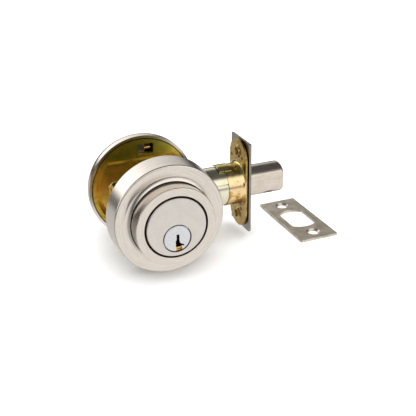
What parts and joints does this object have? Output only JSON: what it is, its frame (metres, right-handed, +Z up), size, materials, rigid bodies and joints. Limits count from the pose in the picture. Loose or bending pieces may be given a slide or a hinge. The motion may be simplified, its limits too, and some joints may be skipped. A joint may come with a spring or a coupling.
{
  "type": "deadbolt door lock",
  "caption": "Round single-cylinder deadbolt with keyed exterior collar, tubular latch, flatted round bolt, faceplate, interior rose and thumbturn, and a loose strike plate.",
  "frame": {"origin": "centre of the cross bore: the latch axis meets the collar and rose axis at the middle of the door thickness", "axes": "+X the way the bolt is thrown, -Y the exterior side of the door, +Y the interior side, +Z up; the lock lies on the rims of its collar and rose"},
  "size_m": [0.1422, 0.0925, 0.0656],
  "materials": {
    "satin_nickel": "satin nickel plate, brushed in circles",
    "nickel_plate_flat": "satin nickel plate, brushed lengthwise",
    "bright_chrome": "polished chrome",
    "yellow_zinc": "yellow zinc dichromate plate",
    "gold_zinc": "gold zinc dichromate plate",
    "pale_zinc": "pale zinc plate",
    "brass": "machined brass",
    "die_cast": "raw die-cast zinc",
    "hard_steel": "ground steel",
    "black_nylon": "moulded nylon"
  },
  "bodies": {
    "lock_frame": {"exterior_collar": "satin_nickel", "guard_ring": "satin_nickel", "cylinder_housing": "satin_nickel", "driver_pins": "brass", "pin_springs": "hard_steel", "chamber_cover": "brass", "mounting_base": "pale_zinc", "threaded_posts": "hard_steel", "housing_screws": "hard_steel", "interior_rose": "satin_nickel", "cover_catch": "nickel_plate_flat", "catch_pin": "brass", "mounting_plate": "yellow_zinc", "through_screws": "gold_zinc", "faceplate": "nickel_plate_flat", "backing_plate": "yellow_zinc", "drive_sleeve": "gold_zinc", "latch_tube": "pale_zinc", "bolt_guide": "black_nylon", "case_bulkhead": "pale_zinc", "latch_case_outer": "pale_zinc", "latch_case_inner": "pale_zinc", "case_spacers": "hard_steel", "detent_spring": "hard_steel"},
    "key_plug": {"cylinder_plug": "brass", "plug_face": "bright_chrome", "key_pins": "brass", "plug_cap": "brass"},
    "turn": {"tailpiece": "pale_zinc", "thumbturn": "satin_nickel", "thumbturn_spindle": "die_cast", "spindle_clip": "hard_steel", "wave_washer": "hard_steel", "drive_cam": "die_cast", "cam_pin": "hard_steel"},
    "bolt": {"bolt": "nickel_plate_flat", "bolt_drive_bar": "pale_zinc", "link_pin": "hard_steel", "saw_pin": "hard_steel"},
    "strike": {"strike_plate": "nickel_plate_flat"}
  },
  "joints": [
    {"name": "thumbturn_turn", "type": "hinge", "parent": "lock_frame", "child": "turn", "pos_m": [0, 0, -0.0066], "axis": [0, 1, 0], "range_deg": [-90, 0]},
    {"name": "bolt_throw", "type": "slide", "parent": "lock_frame", "child": "bolt", "axis": [1, 0, 0], "range_m": [-0.0254, 0]},
    {"name": "plug_turn", "type": "hinge", "parent": "lock_frame", "child": "key_plug", "pos_m": [0, -0.03, -0.0066], "axis": [0, 1, 0], "range_deg": [-90, 90]},
    {"name": "strike_lift", "type": "slide", "parent": "lock_frame", "child": "strike", "axis": [0, 0, 1], "range_m": [0, 0.05]}
  ],
  "couplings": [
    {"joint": "thumbturn_turn", "follows": "bolt_throw", "rad_per_m": 61.842}
  ]
}
